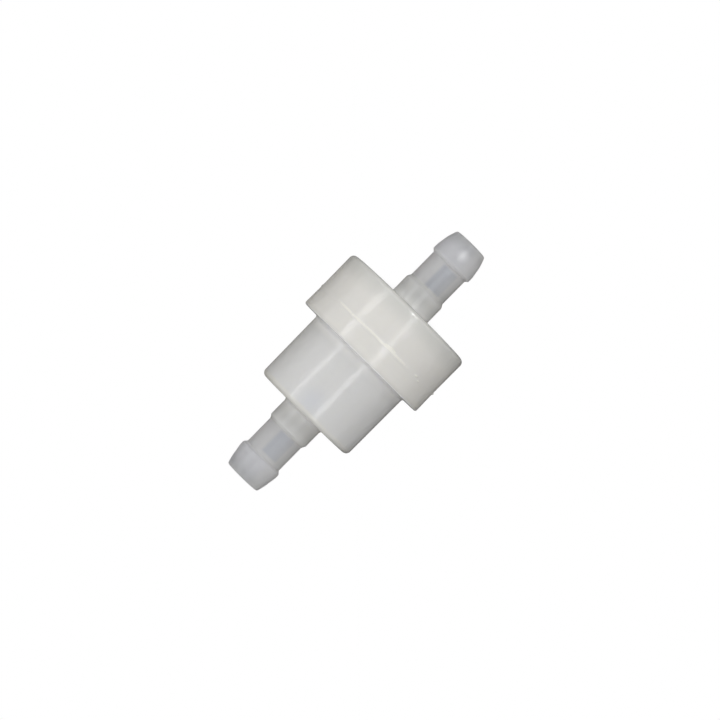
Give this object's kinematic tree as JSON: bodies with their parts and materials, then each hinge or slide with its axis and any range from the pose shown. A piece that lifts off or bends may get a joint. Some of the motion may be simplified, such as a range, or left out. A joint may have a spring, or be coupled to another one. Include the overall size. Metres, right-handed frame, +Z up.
{
  "type": "inline fuel filter",
  "caption": "Inline fuel filter for small engines: a milky plastic cup and a wider welded cap, each with a barbed hose nipple on one axis, around a mesh strainer.",
  "frame": {"origin": "on the filter's axis, half way between the tips of the two nipples", "axes": "+X along the axis the way the fuel flows, from the inlet nipple to the outlet nipple; +Z up, with the filter level as its hoses hold it"},
  "size_m": [0.05, 0.0238, 0.0238],
  "materials": {
    "body_plastic": "milky translucent natural plastic, softly glossy",
    "cap_plastic": "milky translucent natural plastic, slightly warmer and more opaque",
    "weld_plastic": "remelted plastic flash, slightly yellow",
    "cage_plastic": "natural moulded plastic",
    "mesh_cloth": "fine woven monofilament cloth",
    "seal_rubber": "pale fuel-proof rubber"
  },
  "bodies": {
    "root": {"inlet_housing": "body_plastic", "outlet_cap": "cap_plastic", "weld_bead": "weld_plastic", "rim_seal": "seal_rubber", "strainer_cage": "cage_plastic", "strainer_mesh": "mesh_cloth", "mesh_clamp_ring": "cage_plastic", "strainer_end_cap": "cage_plastic"}
  },
  "joints": []
}
